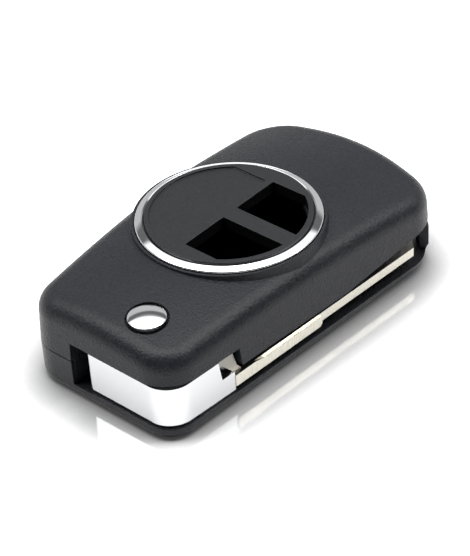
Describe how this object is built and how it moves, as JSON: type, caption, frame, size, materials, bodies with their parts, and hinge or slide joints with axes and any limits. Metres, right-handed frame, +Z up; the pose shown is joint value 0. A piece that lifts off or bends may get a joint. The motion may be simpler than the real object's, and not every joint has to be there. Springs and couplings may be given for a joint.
{
  "type": "flip key remote shell",
  "caption": "Empty folding car key remote shell: two-part plastic case with chrome ring, button windows, and a chrome pivot head that swings an uncut blade out of its side.",
  "frame": {"origin": "middle of the case's outline, on the surface that it rests on", "axes": "+X along the case to its rear end, +Y to the left seen from above with the front to -X, +Z up; the blade lies along the -Y side and opens out of the -X end"},
  "size_m": [0.0688, 0.0395, 0.0196],
  "materials": {
    "shell_plastic": "fine moulded texture",
    "frame_plastic": "smooth satin",
    "chrome": "polished",
    "nickel": "milled",
    "satin_metal": "satin",
    "steel": "plain"
  },
  "bodies": {
    "case": {"upper_shell": "shell_plastic", "lower_shell": "shell_plastic", "bezel_ring": "chrome", "button_frame": "frame_plastic", "pivot_washer": "steel", "pivot_screw": "steel", "shell_screw_1": "steel", "shell_screw_2": "steel", "shell_screw_3": "steel"},
    "head": {"flip_head": "chrome", "key_blade": "nickel", "roll_pin": "steel", "stop_tab": "satin_metal", "release_spring": "steel"},
    "button": {"release_button": "chrome"}
  },
  "joints": [
    {"name": "flip_pivot", "type": "hinge", "parent": "case", "child": "head", "pos_m": [-0.02734, -0.00553, 0.0065], "axis": [0, 0, -1], "range_deg": [0, 177]},
    {"name": "release_press", "type": "slide", "parent": "head", "child": "button", "axis": [0, 0, -1], "range_m": [0, 0.0015], "stiffness_N_per_m": 600, "springref_m": -0.0015, "deforming": ["release_spring"]}
  ]
}
